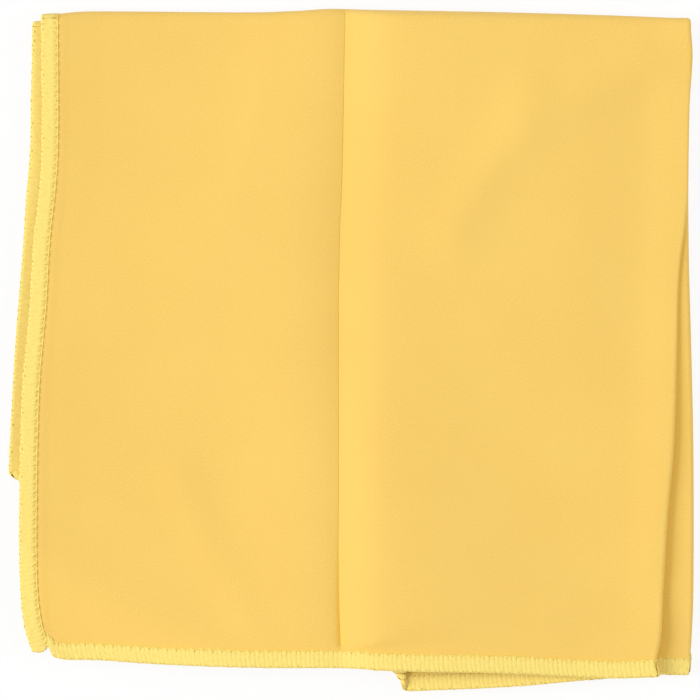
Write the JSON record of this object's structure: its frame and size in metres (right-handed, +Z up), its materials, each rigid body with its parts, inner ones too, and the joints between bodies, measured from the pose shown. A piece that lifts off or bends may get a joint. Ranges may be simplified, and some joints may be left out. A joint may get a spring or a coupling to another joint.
{
  "type": "microfibre cleaning cloth",
  "caption": "Square microfibre cleaning cloth with overlocked edges, folded in quarters and lying flat; its upper half opens about the top fold.",
  "frame": {"origin": "middle of the folded cloth's resting face", "axes": "+Z up out of the surface it lies on, +Y to the top fold, +X to the side fold"},
  "size_m": [0.1852, 0.1844, 0.01],
  "materials": {
    "microfibre_fabric": "yellow knitted microfibre with a short soft pile, matt with a faint sheen",
    "overlock_thread": "lemon yellow textured polyester thread, slightly lighter and smoother than the fabric"
  },
  "bodies": {
    "lower_half": {"cloth_lower_half": "microfibre_fabric", "lower_front_side_seam_needle_thread": "overlock_thread", "lower_front_side_seam_face_looper": "overlock_thread", "lower_front_side_seam_back_looper": "overlock_thread", "lower_back_side_seam_needle_thread": "overlock_thread", "lower_back_side_seam_face_looper": "overlock_thread", "lower_back_side_seam_back_looper": "overlock_thread", "lower_end_seam_needle_thread": "overlock_thread", "lower_end_seam_face_looper": "overlock_thread", "lower_end_seam_back_looper": "overlock_thread"},
    "upper_half": {"cloth_upper_half": "microfibre_fabric", "upper_front_side_seam_needle_thread": "overlock_thread", "upper_front_side_seam_face_looper": "overlock_thread", "upper_front_side_seam_back_looper": "overlock_thread", "upper_back_side_seam_needle_thread": "overlock_thread", "upper_back_side_seam_face_looper": "overlock_thread", "upper_back_side_seam_back_looper": "overlock_thread", "upper_end_seam_needle_thread": "overlock_thread", "upper_end_seam_face_looper": "overlock_thread", "upper_end_seam_back_looper": "overlock_thread"}
  },
  "joints": [
    {"name": "top_fold", "type": "hinge", "parent": "lower_half", "child": "upper_half", "pos_m": [0, 0.09228, 0.0038], "axis": [-1, 0, 0], "range_deg": [0, 178]}
  ]
}
